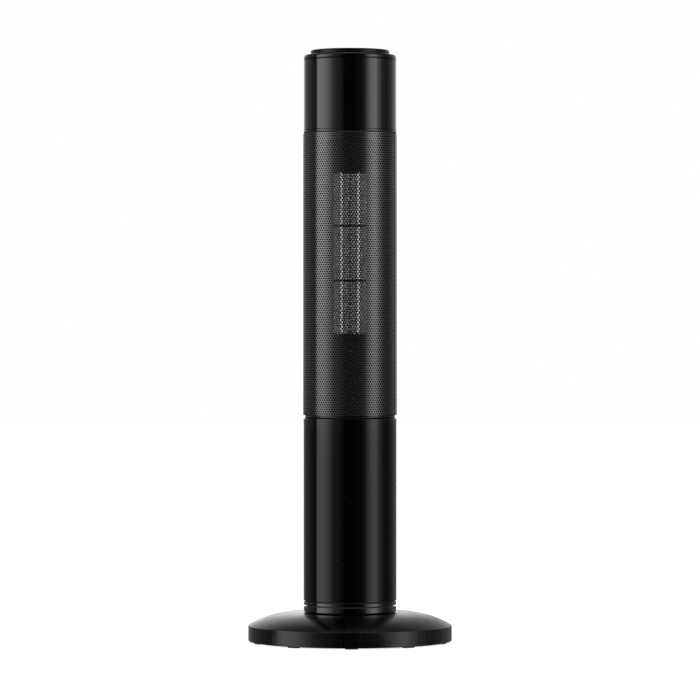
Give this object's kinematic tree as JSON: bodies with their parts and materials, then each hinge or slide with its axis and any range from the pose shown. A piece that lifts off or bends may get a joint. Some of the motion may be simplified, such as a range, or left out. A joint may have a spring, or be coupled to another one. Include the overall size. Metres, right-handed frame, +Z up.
{
  "type": "tower ceramic heater",
  "caption": "Tower ceramic heater: slim round column with a perforated metal sleeve over an upright heating element, gloss shells, top control pad, turning on a domed round base.",
  "frame": {"origin": "on the floor, at the centre of the base, under the column's axis", "axes": "+Z up along the column, the heater's front faces -Y"},
  "size_m": [0.2714, 0.273, 0.7886],
  "materials": {
    "base_gloss": "high gloss moulded ABS",
    "trim_gloss": "high gloss, hard coated",
    "under_plastic": "fine grain",
    "ballast_iron": "plain plate",
    "rubber": "matt",
    "steel": "zinc plated",
    "acetal": "natural acetal",
    "bronze": "sintered bronze",
    "signal_red": "moulded",
    "shell_gloss": "high gloss moulded ABS",
    "pad_satin": "satin top",
    "inner_black": "heat resistant, fine grain",
    "duct_grey": "galvanised sheet",
    "board_green": "solder mask",
    "components": "moulded packages",
    "fin_aluminium": "rolled corrugated strip",
    "ceramic_stone": "fired, between bright electrodes",
    "tab_brass": "tinned edge",
    "cutout_body": "fired body with a metal cap",
    "wire_jacket": "silicone rubber",
    "sleeve_paint": "satin powder coat on perforated steel",
    "filter_cloth": "fine woven screen",
    "lens_dark": "smoked window",
    "button_matt": "soft satin"
  },
  "bodies": {
    "base": {"base_cover": "base_gloss", "base_plate": "under_plastic", "ballast_plate": "ballast_iron", "rubber_feet": "rubber", "base_screws": "steel", "cord_gland": "under_plastic", "swivel_collar": "trim_gloss", "thrust_washer": "under_plastic", "spindle_bush": "bronze", "fixed_gear": "acetal", "tip_switch": "under_plastic"},
    "tip_plunger": {"tip_plunger": "signal_red"},
    "osc_pinion": {"osc_pinion": "acetal"},
    "fan": {"fan_wheel": "inner_black", "fan_shaft": "steel"},
    "switch_paddle": {"switch_paddle": "signal_red"},
    "button_mode": {"button_mode": "button_matt"},
    "button_cooler": {"button_cooler": "button_matt"},
    "button_warmer": {"button_warmer": "button_matt"},
    "button_timer": {"button_timer": "button_matt"},
    "button_power": {"button_power": "button_matt"},
    "button_swing": {"button_swing": "button_matt"},
    "column": {"turntable": "trim_gloss", "spindle_clip": "steel", "osc_motor": "steel", "lower_chassis": "inner_black", "lower_shell": "shell_gloss", "power_board": "board_green", "board_parts": "components", "switch_body": "inner_black", "lower_bulkhead": "inner_black", "gap_band": "trim_gloss", "motor_bracket": "steel", "fan_motor": "steel", "fan_bush": "bronze", "duct_bottom": "inner_black", "duct_top": "inner_black", "duct_scroll": "duct_grey", "duct_tongue": "duct_grey", "duct_mouth": "inner_black", "heater_frame": "inner_black", "heater_fins": "fin_aluminium", "heater_stones": "ceramic_stone", "heater_tabs": "tab_brass", "thermal_cutout": "cutout_body", "heater_leads": "wire_jacket", "column_screws": "steel", "tie_rods": "steel", "inlet_filter": "filter_cloth", "front_liner": "inner_black", "perforated_sleeve": "sleeve_paint", "upper_bulkhead": "shell_gloss", "upper_shell": "shell_gloss", "cap_ring": "shell_gloss", "control_pad": "pad_satin", "display_lens": "lens_dark", "display_module": "components", "control_board": "board_green", "tact_switches": "components", "board_screws": "steel"}
  },
  "joints": [
    {"name": "oscillation", "type": "hinge", "parent": "base", "child": "column", "pos_m": [0, 0, 0.05], "axis": [0, 0, 1], "range_deg": [-35, 35]},
    {"name": "osc_pinion_spin", "type": "hinge", "parent": "column", "child": "osc_pinion", "pos_m": [0, 0.036, 0.05], "axis": [0, 0, 1], "range_deg": [-108, 108]},
    {"name": "fan_spin", "type": "hinge", "parent": "column", "child": "fan", "pos_m": [0, 0.014, 0.5], "axis": [0, 0, 1], "continuous": true},
    {"name": "tip_plunger_slide", "type": "slide", "parent": "base", "child": "tip_plunger", "axis": [0, 0, -1], "range_m": [0, 0.004], "stiffness_N_per_m": 50, "springref_m": 0.004},
    {"name": "power_rocker", "type": "hinge", "parent": "column", "child": "switch_paddle", "pos_m": [0, 0.06095, 0.092], "axis": [1, 0, 0], "range_deg": [-18, 0]},
    {"name": "press_mode", "type": "slide", "parent": "column", "child": "button_mode", "axis": [0, 0, -1], "range_m": [0, 0.0008], "stiffness_N_per_m": 500},
    {"name": "press_cooler", "type": "slide", "parent": "column", "child": "button_cooler", "axis": [0, 0, -1], "range_m": [0, 0.0008], "stiffness_N_per_m": 500},
    {"name": "press_warmer", "type": "slide", "parent": "column", "child": "button_warmer", "axis": [0, 0, -1], "range_m": [0, 0.0008], "stiffness_N_per_m": 500},
    {"name": "press_timer", "type": "slide", "parent": "column", "child": "button_timer", "axis": [0, 0, -1], "range_m": [0, 0.0008], "stiffness_N_per_m": 500},
    {"name": "press_power", "type": "slide", "parent": "column", "child": "button_power", "axis": [0, 0, -1], "range_m": [0, 0.0008], "stiffness_N_per_m": 500},
    {"name": "press_swing", "type": "slide", "parent": "column", "child": "button_swing", "axis": [0, 0, -1], "range_m": [0, 0.0008], "stiffness_N_per_m": 500}
  ],
  "couplings": [
    {"joint": "osc_pinion_spin", "follows": "oscillation", "ratio": 3}
  ]
}
